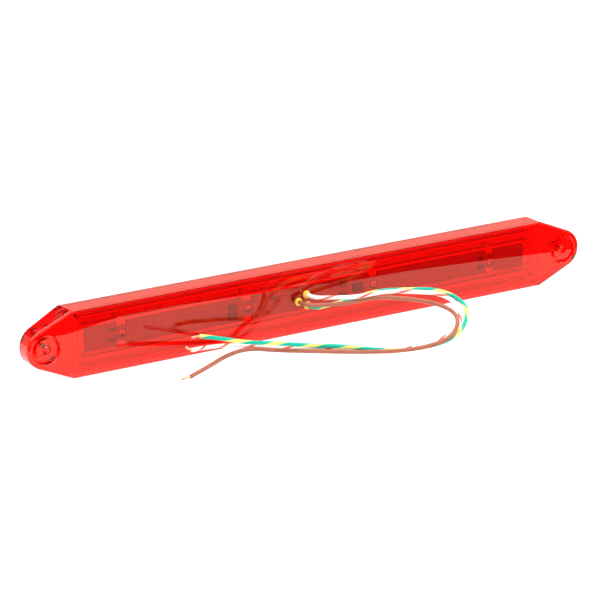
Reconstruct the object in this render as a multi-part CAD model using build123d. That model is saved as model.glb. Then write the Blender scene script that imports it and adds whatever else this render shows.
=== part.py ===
"""Sealed LED third brake light.

A one-piece red lens housing with a screw ear at each end is closed by a flush red back plate. A circuit
board with twelve LEDs is staked inside, and three free wires leave through seals in the back plate.

X runs along the bar, +Y is the way the light shines, +Z is up. The bar stands on its long edge, and the
origin is the middle of the footprint of the housing. All sizes are in millimetres.
"""

import os
from math import radians, tan

from build123d import *

# Housing
BODY_LENGTH = 244.0
HEIGHT = 31.0
DEPTH = 13.0
HOLE_SPACING = 270.0
EAR_RADIUS = 9.1
EAR_TIP_THICKNESS = 8.4
EAR_SLOPE_START_X = 119.8
TOP_DRAFT = 0.3
WALL = 2.2
BACK_EDGE_RADIUS = 1.2
FRONT_EDGE_RADIUS = 0.8
SCREW_HOLE_RADIUS = 2.1
SCREW_HEAD_RADIUS = 4.2
SCREW_SEAT_Y = 2.2
RING_OUTER_RADIUS = 6.5
RING_INNER_RADIUS = 5.0
RING_DEPTH = 2.6
RING_LIP_WIDTH = 0.4

# Back plate, sunk flush into the housing
PLATE_LENGTH = 240.0
PLATE_INSET = 2.4
PLATE_THICKNESS = 2.0
PLATE_CORNER_RADIUS = 2.3
PLATE_GAP = 0.12
PLATE_SEAT_GAP = 0.06
LEDGE = 1.4

# Circuit board and the ribs and posts that hold it
BOARD_LENGTH = 229.4
BOARD_HEIGHT = 10.8
BOARD_THICKNESS = 1.6
BOARD_BACK_DEPTH = 4.2
NOTCH_LENGTH = 4.8
NECK_HEIGHT = 7.0
RIB_SPACING = 14.8
RIB_THICKNESS = 1.2
POST_XS = (-96.5, -33.0, 33.0, 96.5)
POST_RADIUS = 1.5
POST_SHOULDER_RADIUS = 2.1
POST_CLEARANCE = 0.1
STAKE_HEAD_RADIUS = 1.9
STAKE_HEIGHT = 0.3
STRUT_WIDTH = 1.2

# LEDs on the front of the board
LED_COUNT = 12
LED_PITCH = 19.0
LED_LENGTH = 3.5
LED_WIDTH = 2.8
LED_BASE = 1.3
LED_DOME_RADIUS = 1.2

# Parts on the back of the board: (x, z from the middle of the board)
RESISTOR_PLACES = [(-101.5, 2.4), (-101.5, -2.4), (-19.0, 2.2), (91.0, 2.0), (91.0, -2.0)]
DIODE_PLACES = [(-41.0, 1.8), (-41.0, -2.2)]
CAPACITOR_PLACES = [(16.5, 2.8), (16.5, -2.4)]
REGULATOR_X = 24.0
RESISTOR_SIZE = (3.2, 0.55, 1.6)
DIODE_SIZE = (4.3, 1.15, 2.6)
CAPACITOR_SIZE = (3.2, 1.3, 2.5)
REGULATOR_SIZE = (5.0, 1.2, 4.0)

# Wires and their seals
WIRE_RADIUS = 0.95
COPPER_RADIUS = 0.55
SEAL_HOLE_RADIUS = 1.5
SEAL_DOME_RADIUS = 1.85
SEAL_DOME_HEIGHT = 1.3
SOLDER_HEIGHT = 0.5
SOLDER_RADIUS = 1.3

BACK_Y = -DEPTH / 2
MID_Z = HEIGHT / 2
PLATE_FRONT_Y = BACK_Y + PLATE_THICKNESS
LEDGE_Y = PLATE_FRONT_Y + PLATE_SEAT_GAP
FRONT_WALL_Y = DEPTH / 2 - WALL
BOARD_BACK_Y = BACK_Y + BOARD_BACK_DEPTH
BOARD_FRONT_Y = BOARD_BACK_Y + BOARD_THICKNESS
SEAL_TIP_Y = BACK_Y - SEAL_DOME_HEIGHT
WIRE_Z = 1.0

# Each wire's route on the outside: from its seal, along the run at half height, round the loop on the
# right and back along the surface that the bar stands on. The white and green ends stand a little clear.
WIRE_ROUTES = {
    "white": [
        (-4.6, SEAL_TIP_Y, 17.9),
        (-4.6, -13.5, 17.9),
        (1.0, -17.0, 17.8),
        (9.5, -26.0, 18.8),
        (23.5, -28.5, 19.6),
        (35.0, -34.5, 19.0),
        (47.5, -38.0, 16.8),
        (53.0, -44.5, 11.6),
        (44.0, -58.5, 6.6),
        (32.5, -62.5, 4.4),
        (14.0, -62.0, 2.6),
        (4.0, -50.0, WIRE_Z),
        (-7.5, -39.5, WIRE_Z),
        (-18.0, -30.5, WIRE_Z),
        (-28.5, -19.0, WIRE_Z),
        (-39.0, -11.0, 1.2),
        (-58.5, -18.0, 6.6),
        (-75.0, -27.5, 10.0),
    ],
    "brown": [
        (-8.9, SEAL_TIP_Y, 15.2),
        (-8.9, -13.5, 15.2),
        (-3.0, -17.5, 15.2),
        (6.5, -23.5, 15.8),
        (20.5, -27.5, 17.4),
        (29.5, -38.5, 17.6),
        (39.0, -46.0, 15.8),
        (44.5, -53.0, 12.6),
        (42.0, -60.5, 9.6),
        (31.0, -71.5, 7.8),
        (20.5, -72.5, 6.0),
        (8.0, -67.0, 4.4),
        (-0.5, -53.5, 2.0),
        (-10.0, -42.0, WIRE_Z),
        (-21.0, -33.0, WIRE_Z),
        (-31.5, -24.0, WIRE_Z),
        (-39.5, -14.5, WIRE_Z),
        (-52.0, -17.5, WIRE_Z),
        (-68.5, -28.5, WIRE_Z),
        (-80.5, -35.5, WIRE_Z),
    ],
    "green": [
        (-4.4, SEAL_TIP_Y, 12.8),
        (-4.4, -13.2, 12.8),
        (1.0, -16.8, 14.4),
        (9.5, -18.5, 15.2),
        (25.5, -17.5, 17.0),
        (37.0, -25.0, 17.4),
        (48.0, -33.0, 17.6),
        (54.0, -44.0, 14.4),
        (52.5, -52.5, 9.8),
        (38.0, -67.0, 6.4),
        (23.5, -70.0, 4.8),
        (11.0, -63.5, 3.0),
        (1.0, -53.0, 2.8),
        (-8.0, -41.0, 3.0),
        (-19.0, -31.5, 2.8),
        (-34.0, -29.0, 6.0),
        (-48.0, -26.5, 8.2),
        (-58.0, -21.5, 10.8),
        (-65.5, -17.0, 12.0),
    ],
}
COPPER_LENGTH = 6.0


def on_back(x=0.0, z=MID_Z, y=BACK_Y):
    """A plane facing out of the back, with its origin at (x, y, z)."""
    return Plane(origin=(x, y, z), x_dir=(1, 0, 0), z_dir=(0, -1, 0))


def block(x, z, y_low, y_high, length, height):
    """A box between two depths, centred on (x, z)."""
    return Pos(x, (y_low + y_high) / 2, z) * Box(length, y_high - y_low, height)


def rod(x, z, y_low, y_high, radius):
    """A cylinder along Y between two depths."""
    return extrude(on_back(x, z, y_high) * Circle(radius), y_high - y_low)


def rounded_slab(length, height, corner_radius, y_low, y_high):
    """A slab with rounded corners in the middle of the bar."""
    return extrude(on_back(y=y_high) * RectangleRounded(length, height, corner_radius), y_high - y_low)


def housing_blank():
    """The outer shape: the bar, its tapered ears, the sloped ear fronts and the drafted top."""
    bar = Rectangle(BODY_LENGTH, HEIGHT)
    ears = [Pos(side * HOLE_SPACING / 2, 0) * Circle(EAR_RADIUS) for side in (-1, 1)]
    outline = make_hull(bar.edges() + ears[0].edges() + ears[1].edges())
    blank = extrude(on_back(y=DEPTH / 2) * outline, DEPTH)
    ear_end = HOLE_SPACING / 2 + EAR_RADIUS
    ear_front_y = BACK_Y + EAR_TIP_THICKNESS
    for side in (-1, 1):
        slope = Polyline(
            (side * EAR_SLOPE_START_X, DEPTH / 2),
            (side * ear_end, ear_front_y),
            (side * (ear_end + WALL), ear_front_y),
            (side * (ear_end + WALL), DEPTH),
            (side * EAR_SLOPE_START_X, DEPTH),
            close=True,
        )
        blank -= extrude(make_face(slope), HEIGHT, both=True)
    draft_start_y = BACK_Y + 1.5 * BACK_EDGE_RADIUS
    draft = Polyline(
        (draft_start_y, HEIGHT),
        (DEPTH / 2, HEIGHT - TOP_DRAFT),
        (DEPTH / 2, HEIGHT + WALL),
        (draft_start_y, HEIGHT + WALL),
        close=True,
    )
    blank -= extrude(Plane.YZ * make_face(draft), ear_end, both=True)
    front_edges = blank.faces().sort_by(Axis.Y)[-1].edges().filter_by(Axis.X)
    blank = fillet(front_edges, FRONT_EDGE_RADIUS)
    return fillet(blank.faces().sort_by(Axis.Y)[0].edges(), BACK_EDGE_RADIUS)


def ear_hole(side):
    """The ring recess, the screw hole in its middle and the screw head's seat in front."""
    x = side * HOLE_SPACING / 2
    ring_floor_y = BACK_Y + RING_DEPTH
    ring = rod(x, MID_Z, BACK_Y, ring_floor_y, RING_OUTER_RADIUS) - rod(
        x, MID_Z, BACK_Y, ring_floor_y, RING_INNER_RADIUS
    )
    from_base = (Align.CENTER, Align.CENTER, Align.MIN)
    lip = Cone(RING_OUTER_RADIUS + RING_LIP_WIDTH, RING_OUTER_RADIUS, RING_LIP_WIDTH, align=from_base)
    lip = Plane(origin=(x, BACK_Y, MID_Z), x_dir=(1, 0, 0), z_dir=(0, 1, 0)) * lip
    lip -= rod(x, MID_Z, BACK_Y, ring_floor_y, RING_OUTER_RADIUS)
    screw_hole = rod(x, MID_Z, BACK_Y, DEPTH / 2, SCREW_HOLE_RADIUS)
    head_seat = rod(x, MID_Z, SCREW_SEAT_Y, DEPTH / 2, SCREW_HEAD_RADIUS)
    return ring + lip + screw_hole + head_seat


def board_holders():
    """Two long ribs beside the board and four posts that stake it, all standing on the front wall."""
    holders = []
    for side in (-1, 1):
        rib_z = MID_Z + side * RIB_SPACING / 2
        holders.append(block(0, rib_z, BOARD_BACK_Y, FRONT_WALL_Y, PLATE_LENGTH - 2 * LEDGE, RIB_THICKNESS))
    for x in POST_XS:
        holders.append(rod(x, MID_Z, BOARD_FRONT_Y, FRONT_WALL_Y, POST_SHOULDER_RADIUS))
        holders.append(rod(x, MID_Z, BOARD_BACK_Y, BOARD_FRONT_Y, POST_RADIUS))
        holders.append(rod(x, MID_Z, BOARD_BACK_Y - STAKE_HEIGHT, BOARD_BACK_Y, STAKE_HEAD_RADIUS))
        holders.append(block(x, MID_Z, BOARD_FRONT_Y, FRONT_WALL_Y, STRUT_WIDTH, RIB_SPACING))
    return holders


def lens_housing():
    plate_height = HEIGHT - 2 * PLATE_INSET
    housing = housing_blank()
    housing -= rounded_slab(PLATE_LENGTH, plate_height, PLATE_CORNER_RADIUS, BACK_Y, LEDGE_Y)
    cavity_corner_radius = PLATE_CORNER_RADIUS - LEDGE / 2
    housing -= rounded_slab(
        PLATE_LENGTH - 2 * LEDGE, plate_height - 2 * LEDGE, cavity_corner_radius, LEDGE_Y, FRONT_WALL_Y
    )
    for side in (-1, 1):
        housing -= ear_hole(side)
    return housing + board_holders()


def back_plate():
    length = PLATE_LENGTH - 2 * PLATE_GAP
    height = HEIGHT - 2 * PLATE_INSET - 2 * PLATE_GAP
    plate = rounded_slab(length, height, PLATE_CORNER_RADIUS - PLATE_GAP, BACK_Y, PLATE_FRONT_Y)
    for route in WIRE_ROUTES.values():
        plate -= rod(route[0][0], route[0][2], BACK_Y, PLATE_FRONT_Y, SEAL_HOLE_RADIUS)
    return plate


def circuit_board():
    """The board, notched to a short neck at each post so that light passes beside the stakes."""
    board = block(0, MID_Z, BOARD_BACK_Y, BOARD_FRONT_Y, BOARD_LENGTH, BOARD_HEIGHT)
    notch_height = (BOARD_HEIGHT - NECK_HEIGHT) / 2
    for x in POST_XS:
        board -= rod(x, MID_Z, BOARD_BACK_Y, BOARD_FRONT_Y, POST_RADIUS + POST_CLEARANCE)
        for side in (-1, 1):
            z = MID_Z + side * (NECK_HEIGHT + notch_height) / 2
            board -= block(x, z, BOARD_BACK_Y, BOARD_FRONT_Y, NOTCH_LENGTH, notch_height)
    return board


def led(x):
    """A surface-mount LED: a white package with a clear dome on its front."""
    package = block(x, MID_Z, BOARD_FRONT_Y, BOARD_FRONT_Y + LED_BASE, LED_LENGTH, LED_WIDTH)
    ball = Pos(x, BOARD_FRONT_Y + LED_BASE, MID_Z) * Sphere(LED_DOME_RADIUS)
    return package + ball


def on_board(places, size):
    """Equal parts soldered to the back of the board, at the given places."""
    length, thickness, height = size
    parts = [block(x, MID_Z + z, BOARD_BACK_Y - thickness, BOARD_BACK_Y, length, height) for x, z in places]
    return Compound(children=parts)


def seal(x, z):
    """A wire seal: a plug in the plate's hole and a dome outside, cut flat where the wire leaves."""
    ball_radius = (SEAL_DOME_RADIUS**2 + SEAL_DOME_HEIGHT**2) / (2 * SEAL_DOME_HEIGHT) + WIRE_RADIUS / 3
    dome = Pos(x, SEAL_TIP_Y + ball_radius - WIRE_RADIUS / 3, z) * Sphere(ball_radius)
    dome &= rod(x, z, SEAL_TIP_Y, BACK_Y, SEAL_DOME_RADIUS)
    return dome + rod(x, z, BACK_Y, PLATE_FRONT_Y, SEAL_HOLE_RADIUS)


def inner_lead(x, z):
    """The wire between its seal and the board's solder joint."""
    return rod(x, z, PLATE_FRONT_Y, BOARD_BACK_Y - SOLDER_HEIGHT, WIRE_RADIUS)


def solder_joint(x, z):
    return rod(x, z, BOARD_BACK_Y - SOLDER_HEIGHT, BOARD_BACK_Y, SOLDER_RADIUS)


def bend_radii(points):
    """The largest arc that each corner's two runs leave room for."""
    radii = []
    for before, corner, after in zip(points, points[1:], points[2:]):
        arriving = Vector(*corner) - Vector(*before)
        leaving = Vector(*after) - Vector(*corner)
        shorter = min(arriving.length, leaving.length)
        radii.append(0.45 * shorter / tan(radians(arriving.get_angle(leaving)) / 2))
    return radii


def wire(name):
    """An insulated wire swept along its route."""
    points = WIRE_ROUTES[name]
    radii = bend_radii(points)
    path = FilletPolyline(*points, radius=radii)
    tube = sweep(Plane(origin=path @ 0, z_dir=path % 0) * Circle(WIRE_RADIUS), path=path)
    section = Circle(WIRE_RADIUS).area
    print(f"wire_{name}: length {path.length:.1f}, smallest radius {min(radii):.1f}", end=", ")
    print(f"volume over section x length {tube.volume / (section * path.length):.4f}")
    return tube


def copper_end(name):
    """The stripped copper strands past the insulation."""
    before_last, last = WIRE_ROUTES[name][-2:]
    along = Vector(*last) - Vector(*before_last)
    return extrude(Plane(origin=last, z_dir=along) * Circle(COPPER_RADIUS), COPPER_LENGTH)


def build_parts():
    parts = {
        "lens_housing": lens_housing(),
        "back_plate": back_plate(),
        "circuit_board": circuit_board(),
        "resistors": on_board(RESISTOR_PLACES, RESISTOR_SIZE),
        "diodes": on_board(DIODE_PLACES, DIODE_SIZE),
        "capacitors": on_board(CAPACITOR_PLACES, CAPACITOR_SIZE),
        "regulator": on_board([(REGULATOR_X, 0)], REGULATOR_SIZE),
    }
    for number in range(LED_COUNT):
        x = (number - (LED_COUNT - 1) / 2) * LED_PITCH
        parts[f"led_{number + 1:02d}"] = led(x)
    for name, route in WIRE_ROUTES.items():
        x, _, z = route[0]
        parts[f"seal_{name}"] = seal(x, z)
        parts[f"inner_lead_{name}"] = inner_lead(x, z)
        parts[f"solder_joint_{name}"] = solder_joint(x, z)
        parts[f"wire_{name}"] = wire(name)
        parts[f"copper_end_{name}"] = copper_end(name)
    return parts


os.makedirs("parts", exist_ok=True)
for node, shape in build_parts().items():
    shape.label = node
    export_step(shape, f"parts/{node}.step")
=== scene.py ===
"""Sealed LED third brake light, standing on a pale table and seen from its wired back."""

from math import cos, pi, radians, sin

import bmesh
import bpy
from mathutils import Matrix, Vector


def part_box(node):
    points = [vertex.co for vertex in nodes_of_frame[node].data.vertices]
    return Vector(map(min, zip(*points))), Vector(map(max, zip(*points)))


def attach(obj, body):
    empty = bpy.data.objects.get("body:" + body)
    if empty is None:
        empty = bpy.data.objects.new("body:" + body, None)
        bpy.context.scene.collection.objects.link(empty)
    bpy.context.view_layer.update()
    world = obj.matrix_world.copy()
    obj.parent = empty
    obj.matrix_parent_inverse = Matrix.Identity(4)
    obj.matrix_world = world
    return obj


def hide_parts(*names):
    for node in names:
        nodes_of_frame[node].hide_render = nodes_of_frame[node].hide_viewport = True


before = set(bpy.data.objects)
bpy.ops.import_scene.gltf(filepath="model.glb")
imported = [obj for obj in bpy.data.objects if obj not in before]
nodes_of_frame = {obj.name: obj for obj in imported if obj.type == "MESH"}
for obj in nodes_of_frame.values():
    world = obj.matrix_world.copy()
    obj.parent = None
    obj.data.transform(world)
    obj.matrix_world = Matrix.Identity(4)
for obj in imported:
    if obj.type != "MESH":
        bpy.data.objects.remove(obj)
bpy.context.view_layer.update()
MM = 0.001


# ------------------------------------------------------------------ camera
def make_camera(azimuth, elevation, roll, distance, lens, aim):
    """A camera behind the bar: azimuth 0 looks along +Y, angles in degrees, aim is the picture's middle."""
    turn, tilt, lean = radians(azimuth), radians(elevation), radians(roll)
    back = Vector((sin(turn) * cos(tilt), -cos(turn) * cos(tilt), sin(tilt)))
    level = Vector((cos(turn), sin(turn), 0.0))
    right = level * cos(lean) + back.cross(level) * sin(lean)
    up = back.cross(right)
    camera = bpy.data.objects.new("camera", bpy.data.cameras.new("camera"))
    camera.data.sensor_width = 36.0
    camera.data.lens = lens
    camera.data.clip_end = 20.0
    turn_matrix = Matrix((right, up, back)).transposed().to_4x4()
    camera.matrix_world = Matrix.Translation(aim + back * distance) @ turn_matrix
    bpy.context.scene.collection.objects.link(camera)
    bpy.context.scene.camera = camera


make_camera(
    azimuth=-29.96,
    elevation=16.65,
    roll=-1.71,
    distance=1.594,
    lens=211.7,
    aim=Vector((-3.97, 0.41, 13.42)) * MM,
)


# ------------------------------------------------------------------ material helpers
class Paint:
    """One node-based material and short ways to add to it."""

    def __init__(self, name, **sockets):
        self.material = bpy.data.materials.new(name)
        self.material.use_nodes = True
        self.tree = self.material.node_tree
        self.shader = self.tree.nodes["Principled BSDF"]
        for socket, value in sockets.items():
            self.shader.inputs[socket.replace("_", " ")].default_value = value

    def node(self, kind, **values):
        made = self.tree.nodes.new(kind)
        for name, value in values.items():
            setattr(made, name, value)
        return made

    def link(self, source, target):
        self.tree.links.new(source, target)

    def place(self, stretch=(1.0, 1.0, 1.0)):
        """The point on the object, in metres, stretched along each axis."""
        coordinates = self.node("ShaderNodeTexCoord")
        mapping = self.node("ShaderNodeMapping")
        mapping.inputs["Scale"].default_value = stretch
        self.link(coordinates.outputs["Object"], mapping.inputs["Vector"])
        return mapping.outputs["Vector"]

    def noise(self, scale, detail=3.0, stretch=(1.0, 1.0, 1.0)):
        texture = self.node("ShaderNodeTexNoise")
        texture.inputs["Scale"].default_value = scale
        texture.inputs["Detail"].default_value = detail
        self.link(self.place(stretch), texture.inputs["Vector"])
        return texture.outputs["Fac"]

    def ramp(self, factor, stops):
        """Colours along a factor: stops are (place, colour)."""
        ramp = self.node("ShaderNodeValToRGB")
        first, last = ramp.color_ramp.elements
        first.position, first.color = stops[0]
        last.position, last.color = stops[-1]
        for position, colour in stops[1:-1]:
            ramp.color_ramp.elements.new(position).color = colour
        self.link(factor, ramp.inputs["Fac"])
        return ramp.outputs["Color"]

    def colour(self, factor, stops):
        self.link(self.ramp(factor, stops), self.shader.inputs["Base Color"])

    def vary(self, socket, factor, low, high):
        """A socket that runs from low to high with the factor's usual range."""
        spread = self.node("ShaderNodeMapRange")
        spread.inputs["From Min"].default_value = 0.3
        spread.inputs["From Max"].default_value = 0.7
        spread.inputs["To Min"].default_value = low
        spread.inputs["To Max"].default_value = high
        self.link(factor, spread.inputs["Value"])
        self.link(spread.outputs["Result"], self.shader.inputs[socket])

    def bump(self, height, strength, distance):
        bump = self.node("ShaderNodeBump")
        bump.inputs["Strength"].default_value = strength
        bump.inputs["Distance"].default_value = distance
        self.link(height, bump.inputs["Height"])
        self.link(bump.outputs["Normal"], self.shader.inputs["Normal"])


def rgb(red, green, blue):
    return (red, green, blue, 1.0)


# ------------------------------------------------------------------ materials
def red_acrylic(name):
    """Clear red acrylic: polished, with faint moulding flow and a few fine scratches."""
    tint = (0.86, 0.0006, 0.0006)
    streak_tint = (tint[0] * 0.97, tint[1] * 0.8, tint[2] * 0.8)
    paint = Paint(name, IOR=1.49, Transmission_Weight=1.0, Specular_Tint=rgb(1.0, 0.95, 0.70))
    flow = paint.noise(45.0, 2.0, (0.25, 1.0, 1.0))
    paint.colour(flow, [(0.3, rgb(*tint)), (0.7, rgb(*streak_tint))])
    paint.vary("Roughness", paint.noise(900.0, 4.0, (0.2, 1.0, 1.0)), 0.0, 0.004)
    paint.bump(paint.noise(60.0, 2.0, (0.3, 1.0, 1.0)), 0.004, 0.0006)
    return paint.material


def board_finish():
    """Pale solder mask with copper tracks showing through as slightly darker bands."""
    paint = Paint("board_finish", Roughness=0.42, Specular_IOR_Level=0.5)
    tracks = paint.node("ShaderNodeTexBrick", offset=0.5)
    tracks.inputs["Scale"].default_value = 1.0
    tracks.inputs["Brick Width"].default_value = 0.019
    tracks.inputs["Row Height"].default_value = 0.0036
    tracks.inputs["Mortar Size"].default_value = 0.00022
    tracks.inputs["Color1"].default_value = rgb(0.90, 0.88, 0.84)
    tracks.inputs["Color2"].default_value = rgb(0.86, 0.84, 0.80)
    tracks.inputs["Mortar"].default_value = rgb(0.74, 0.72, 0.68)
    upright = paint.node("ShaderNodeMapping")
    upright.inputs["Rotation"].default_value = (pi / 2, 0.0, 0.0)
    paint.link(paint.node("ShaderNodeTexCoord").outputs["Object"], upright.inputs["Vector"])
    paint.link(upright.outputs["Vector"], tracks.inputs["Vector"])
    paint.link(tracks.outputs["Color"], paint.shader.inputs["Base Color"])
    paint.bump(tracks.outputs["Fac"], 0.2, 0.00005)
    return paint.material


def chip_finish(name, dark, pale):
    """A small moulded or ceramic part with a fine grain."""
    paint = Paint(name, Roughness=0.5)
    paint.colour(paint.noise(1500.0), [(0.35, rgb(*dark)), (0.65, rgb(*pale))])
    paint.bump(paint.noise(4000.0), 0.25, 0.00004)
    return paint.material


def led_finish():
    """White package behind a yellow phosphor dome."""
    paint = Paint("led_finish", Roughness=0.25)
    depth = paint.node("ShaderNodeSeparateXYZ")
    paint.link(paint.place(), depth.inputs["Vector"])
    low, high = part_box("led_01")
    share = paint.node("ShaderNodeMapRange")
    share.inputs["From Min"].default_value = low.y
    share.inputs["From Max"].default_value = high.y
    paint.link(depth.outputs["Y"], share.inputs["Value"])
    body, lens = rgb(0.85, 0.84, 0.80), rgb(0.95, 0.62, 0.12)
    paint.colour(share.outputs["Result"], [(0.50, body), (0.56, lens)])
    return paint.material


def resin():
    """Yellow potting resin, glossy and a little uneven."""
    paint = Paint("resin", Roughness=0.18, Coat_Weight=0.4, Coat_Roughness=0.1)
    paint.colour(paint.noise(700.0), [(0.3, rgb(0.80, 0.44, 0.006)), (0.7, rgb(0.92, 0.60, 0.012))])
    paint.bump(paint.noise(900.0), 0.5, 0.00025)
    return paint.material


def metal(name, dark, bright, roughness):
    paint = Paint(name, Metallic=1.0)
    paint.colour(paint.noise(2500.0), [(0.3, rgb(*dark)), (0.7, rgb(*bright))])
    paint.vary("Roughness", paint.noise(3500.0), roughness * 0.7, roughness * 1.4)
    paint.bump(paint.noise(5000.0), 0.2, 0.00004)
    return paint.material


def insulation(name, base, shade):
    """PVC wire insulation: satin, with faint drawing lines and handling marks."""
    paint = Paint(name, Specular_IOR_Level=0.2, Coat_Weight=0.05, Coat_Roughness=0.25)
    paint.colour(paint.noise(420.0), [(0.3, rgb(*shade)), (0.7, rgb(*base))])
    paint.vary("Roughness", paint.noise(1300.0), 0.272, 0.384)
    paint.bump(paint.noise(2600.0), 0.15, 0.00005)
    return paint.material


def give(node, material):
    mesh = nodes_of_frame[node].data
    mesh.materials.clear()
    mesh.materials.append(material)


def dress_frame():
    give("lens_housing", red_acrylic("red_lens_acrylic"))
    give("back_plate", red_acrylic("red_plate_acrylic"))
    give("circuit_board", board_finish())
    give("resistors", chip_finish("resistor_ceramic", (0.38, 0.38, 0.39), (0.48, 0.48, 0.49)))
    give("diodes", chip_finish("diode_plastic", (0.36, 0.36, 0.37), (0.46, 0.46, 0.47)))
    give("capacitors", chip_finish("capacitor_ceramic", (0.38, 0.25, 0.12), (0.5, 0.36, 0.2)))
    give("regulator", chip_finish("regulator_plastic", (0.30, 0.30, 0.31), (0.38, 0.38, 0.39)))
    led_material, resin_material = led_finish(), resin()
    solder = metal("tin_solder", (0.55, 0.55, 0.57), (0.8, 0.8, 0.82), 0.25)
    for node in nodes_of_frame:
        if node.startswith("led_"):
            give(node, led_material)
        if node.startswith("seal_"):
            give(node, resin_material)
        if node.startswith("solder_joint_"):
            give(node, solder)


# ------------------------------------------------------------------ wires
WIRE_DIAMETER = 1.9 * MM
WIRE_COLUMNS = 24
TRACER_COLUMNS = {"white": 4, "brown": 0, "green": 9}
TRACER_PITCH = 17.5 * MM
STRAND_RADIUS = 0.15 * MM
STRAND_COLUMNS = 10
OUTER_STRANDS = 6
STRAND_LAY_PITCH = 9 * MM
STRAND_FLARE = 0.35  # how much wider the bundle is where it ends
COPPER_LENGTH = 6 * MM
LINE_STEPS = 24  # steps along a wire's line for each point of its route

# Where each wire leaves its seal, and the height of its middle where it lies on the table, in mm.
SEAL_TIP_Y = -7.8
WIRE_Z = 1.0

# Each wire's route in mm: out of its seal, round the loop on the right and back along the table.
WIRE_ROUTES = {
    "white": [
        (-4.6, SEAL_TIP_Y, 17.9),
        (-4.6, -13.5, 17.9),
        (1.0, -17.0, 17.8),
        (9.5, -26.0, 18.8),
        (23.5, -28.5, 19.6),
        (35.0, -34.5, 19.0),
        (47.5, -38.0, 16.8),
        (53.0, -44.5, 11.6),
        (44.0, -58.5, 6.6),
        (32.5, -62.5, 4.4),
        (14.0, -62.0, 2.6),
        (4.0, -50.0, WIRE_Z),
        (-7.5, -39.5, WIRE_Z),
        (-18.0, -30.5, WIRE_Z),
        (-28.5, -19.0, WIRE_Z),
        (-39.0, -11.0, 1.2),
        (-58.5, -18.0, 6.6),
        (-75.0, -27.5, 10.0),
    ],
    "brown": [
        (-8.9, SEAL_TIP_Y, 15.2),
        (-8.9, -13.5, 15.2),
        (-3.0, -17.5, 15.2),
        (6.5, -23.5, 15.8),
        (20.5, -27.5, 17.4),
        (29.5, -38.5, 17.6),
        (39.0, -46.0, 15.8),
        (44.5, -53.0, 12.6),
        (42.0, -60.5, 9.6),
        (31.0, -71.5, 7.8),
        (20.5, -72.5, 6.0),
        (8.0, -67.0, 4.4),
        (-0.5, -53.5, 2.0),
        (-10.0, -42.0, WIRE_Z),
        (-21.0, -33.0, WIRE_Z),
        (-31.5, -24.0, WIRE_Z),
        (-39.5, -14.5, WIRE_Z),
        (-52.0, -17.5, WIRE_Z),
        (-68.5, -28.5, WIRE_Z),
        (-80.5, -35.5, WIRE_Z),
    ],
    "green": [
        (-4.4, SEAL_TIP_Y, 12.8),
        (-4.4, -13.2, 12.8),
        (1.0, -16.8, 14.4),
        (9.5, -18.5, 15.2),
        (25.5, -17.5, 17.0),
        (37.0, -25.0, 17.4),
        (48.0, -33.0, 17.6),
        (54.0, -44.0, 14.4),
        (52.5, -52.5, 9.8),
        (38.0, -67.0, 6.4),
        (23.5, -70.0, 4.8),
        (11.0, -63.5, 3.0),
        (1.0, -53.0, 2.8),
        (-8.0, -41.0, 3.0),
        (-19.0, -31.5, 2.8),
        (-34.0, -29.0, 6.0),
        (-48.0, -26.5, 8.2),
        (-58.0, -21.5, 10.8),
        (-65.5, -17.0, 12.0),
    ],
}
# Where each wire's copper strands lead past the insulation, in mm.
COPPER_BENDS = {
    "white": [(-76.4, -27.0, 10.3), (-77.2, -25.9, 11.4)],
    "brown": [(-82.7, -35.6, 0.9), (-85.6, -36.4, 0.8)],
    "green": [(-66.8, -16.3, 11.9), (-68.8, -15.6, 11.3)],
}


def smooth_line(name, route):
    """Points read along the NURBS spline that the route's points (mm) control."""
    curve = bpy.data.curves.new(name, "CURVE")
    curve.dimensions = "3D"
    curve.resolution_u = LINE_STEPS
    spline = curve.splines.new("NURBS")
    spline.points.add(len(route) - 1)
    for point, place in zip(spline.points, route):
        point.co = (*(Vector(place) * MM), 1.0)
    spline.order_u = 3
    spline.use_endpoint_u = True
    holder = bpy.data.objects.new(name, curve)
    bpy.context.scene.collection.objects.link(holder)
    bpy.context.view_layer.update()
    mesh = bpy.data.meshes.new_from_object(holder)
    line = [vertex.co.copy() for vertex in mesh.vertices]
    bpy.data.objects.remove(holder)
    return line


def frames_along(line):
    """Position, side and up vectors carried along a line without spinning, and the distance so far."""
    side, travelled, frames = None, 0.0, []
    for index, place in enumerate(line):
        along = (line[min(index + 1, len(line) - 1)] - line[max(index - 1, 0)]).normalized()
        start = side if side is not None else Vector((0.0, 0.0, 1.0)).cross(along)
        side = (start - along * start.dot(along)).normalized()
        if index:
            travelled += (place - line[index - 1]).length
        frames.append((place, side, along.cross(side), travelled))
    return frames


def sweep_ring(mesh, line, radius, columns, pitch=None, tracer_columns=0):
    """Adds a closed tube along the line. Its columns wind once per pitch, and the first are the tracer."""
    rings = []
    for place, side, up, travelled in frames_along(line):
        wound = 2 * pi * travelled / pitch if pitch else 0.0
        ring = []
        for column in range(columns):
            angle = 2 * pi * column / columns - wound
            ring.append(mesh.verts.new(place + (side * cos(angle) + up * sin(angle)) * radius))
        rings.append(ring)
    for ring, following in zip(rings, rings[1:]):
        for column in range(columns):
            beside = (column + 1) % columns
            face = mesh.faces.new((ring[column], ring[beside], following[beside], following[column]))
            face.smooth = True
            face.material_index = 1 if column < tracer_columns else 0
    mesh.faces.new(list(reversed(rings[0])))
    mesh.faces.new(rings[-1])


def mesh_object(name, mesh, materials):
    data = bpy.data.meshes.new(name)
    bmesh.ops.recalc_face_normals(mesh, faces=mesh.faces)
    mesh.to_mesh(data)
    mesh.free()
    for material in materials:
        data.materials.append(material)
    made = bpy.data.objects.new(name, data)
    bpy.context.scene.collection.objects.link(made)
    return made


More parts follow.
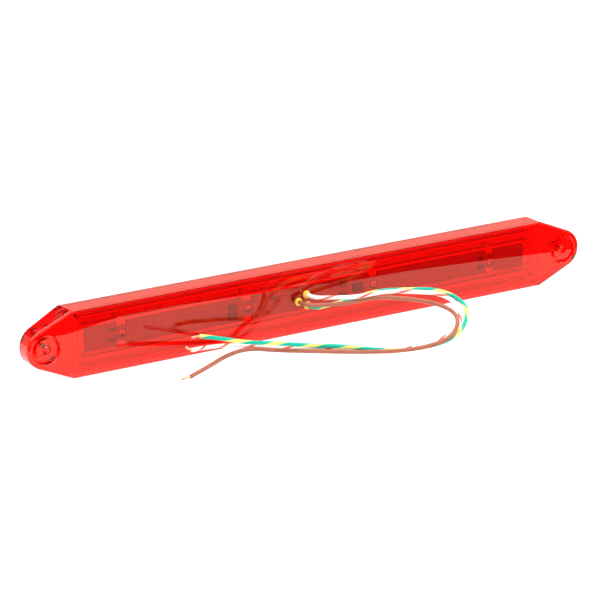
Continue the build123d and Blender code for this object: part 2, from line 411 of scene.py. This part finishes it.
def make_wire(colour, materials):
    """The insulated wire on its route, with its tracer winding round it."""
    line = smooth_line(f"line_{colour}", WIRE_ROUTES[colour])
    mesh = bmesh.new()
    sweep_ring(mesh, line, WIRE_DIAMETER / 2, WIRE_COLUMNS, TRACER_PITCH, TRACER_COLUMNS[colour])
    wire = mesh_object(f"insulation_{colour}", mesh, materials)
    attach(wire, "root")
    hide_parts(f"wire_{colour}")
    return wire, line


def make_strands(colour, material):
    """The stripped copper: strands wound round a straight one, following a small bend."""
    bend = smooth_line(f"copper_line_{colour}", [WIRE_ROUTES[colour][-1], *COPPER_BENDS[colour]])
    mesh = bmesh.new()
    sweep_ring(mesh, bend, STRAND_RADIUS, STRAND_COLUMNS)
    for strand in range(OUTER_STRANDS):
        wound_line = []
        for place, side, up, travelled in frames_along(bend):
            angle = 2 * pi * (strand / OUTER_STRANDS + travelled / STRAND_LAY_PITCH)
            spread = 2 * STRAND_RADIUS * (1 + STRAND_FLARE * (travelled / COPPER_LENGTH) ** 2)
            wound_line.append(place + (side * cos(angle) + up * sin(angle)) * spread)
        sweep_ring(mesh, wound_line, STRAND_RADIUS, STRAND_COLUMNS)
    strands = mesh_object(f"strands_{colour}", mesh, [material])
    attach(strands, "root")
    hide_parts(f"copper_end_{colour}")
    return strands


def make_wires():
    white = insulation("white_pvc", (0.90, 0.88, 0.85), (0.86, 0.84, 0.80))
    red = insulation("red_tracer", (0.86, 0.11, 0.06), (0.78, 0.085, 0.045))
    brown = insulation("brown_pvc", (0.41, 0.13, 0.08), (0.35, 0.105, 0.06))
    green = insulation("green_pvc", (0.0, 0.46, 0.32), (0.0, 0.41, 0.28))
    yellow = insulation("yellow_tracer", (0.76, 0.72, 0.18), (0.71, 0.67, 0.15))
    copper = metal("bare_copper", (0.80, 0.40, 0.20), (0.98, 0.62, 0.38), 0.28)
    finishes = {"white": [white, red], "brown": [brown], "green": [green, yellow]}
    for colour, materials in finishes.items():
        wire, line = make_wire(colour, materials)
        strands = make_strands(colour, copper)
        give(f"inner_lead_{colour}", materials[0])


# ------------------------------------------------------------------ table, surroundings and light
TABLE_HALF_WIDTH = 4.0
# Height of the dark sheet that only glossy surfaces mirror: a painted dark reflection.
REFLECTION_SHEET_HEIGHT = 0.3 * MM
# The outline (x, y) of the dark sheet that only glossy surfaces see, a painted dark reflection: its edge
# runs a hand's width in front of the bar's back.
REFLECTION_SHEET_OUTLINE = [
    (-1.2, -0.067),
    (-0.095, -0.067),
    (-0.079, -0.0724),
    (-0.062, -0.0774),
    (-0.034, -0.0774),
    (0.036, -0.0687),
    (0.053, -0.0643),
    (0.0825, -0.0629),
    (0.128, -0.0557),
    (0.15, -0.0507),
    (0.3, -0.03),
    (1.2, 0.075),
    (1.2, -1.5),
    (-1.2, -1.5),
]


def flat_sheet(name, outline, height, material):
    """A flat sheet of the stage, with an outline that runs anticlockwise seen from above."""
    mesh = bmesh.new()
    mesh.faces.new([mesh.verts.new((x, y, height)) for x, y in outline])
    sheet = mesh_object(name, mesh, [material])
    return sheet


def make_table():
    white = Paint("table_white", Roughness=0.6, Emission_Color=rgb(1.0, 1.0, 1.0), Emission_Strength=0.9)
    white.colour(white.noise(3.0), [(0.3, rgb(0.44, 0.44, 0.44)), (0.7, rgb(0.46, 0.46, 0.46))])
    edge = TABLE_HALF_WIDTH
    flat_sheet("table", [(-edge, -edge), (edge, -edge), (edge, edge), (-edge, edge)], 0.0, white.material)


def make_reflection_only_sheet():
    """A dark sheet hidden from the camera, diffuse and transmission rays and shadows, so only the glossy
    surfaces mirror it: a painted dark reflection.
    """
    dark = Paint("painted_reflection_sheet", Roughness=0.9)
    # Near-black colour of the sheet: a painted dark reflection in the glossy faces.
    dark.colour(dark.noise(30.0), [(0.3, rgb(0.002, 0.002, 0.002)), (0.7, rgb(0.004, 0.004, 0.004))])
    mirror_only_sheet = flat_sheet("painted_reflection_sheet", list(reversed(REFLECTION_SHEET_OUTLINE)), REFLECTION_SHEET_HEIGHT, dark.material)
    mirror_only_sheet.visible_camera = False
    mirror_only_sheet.visible_diffuse = False
    mirror_only_sheet.visible_transmission = False
    mirror_only_sheet.visible_shadow = False


def make_world():
    """A white room: bright near the horizon, a dark band above it and a broad soft light overhead."""
    world = bpy.data.worlds.new("studio")
    bpy.context.scene.world = world
    world.use_nodes = True
    tree = world.node_tree
    background = tree.nodes["Background"]
    place = tree.nodes.new("ShaderNodeTexCoord")
    parts = tree.nodes.new("ShaderNodeSeparateXYZ")
    tree.links.new(place.outputs["Generated"], parts.inputs["Vector"])
    ramp = tree.nodes.new("ShaderNodeValToRGB")
    horizon, overhead = ramp.color_ramp.elements
    horizon.position, horizon.color = 0.38, rgb(0.25, 0.24, 0.20)
    overhead.position, overhead.color = 0.80, rgb(1.0, 1.0, 1.0)
    for rise, level in ((0.43, 0.02), (0.53, 0.02), (0.56, 0.6)):
        ramp.color_ramp.elements.new(rise).color = rgb(level, level, level)
    tree.links.new(parts.outputs["Z"], ramp.inputs["Fac"])
    tree.links.new(ramp.outputs["Color"], background.inputs["Color"])
    background.inputs["Strength"].default_value = 3.0


def let_light_wander():
    """Enough bounces for light to find its way out of the thick clear walls."""
    cycles = bpy.context.scene.cycles
    cycles.max_bounces = 24
    cycles.glossy_bounces = 16
    cycles.transmission_bounces = 24


make_wires()
dress_frame()
make_table()
# Painted dark reflection: a sheet seen only in the glossy surfaces.
make_reflection_only_sheet()
make_world()
let_light_wander()
bpy.context.scene.view_settings.view_transform = "Standard"
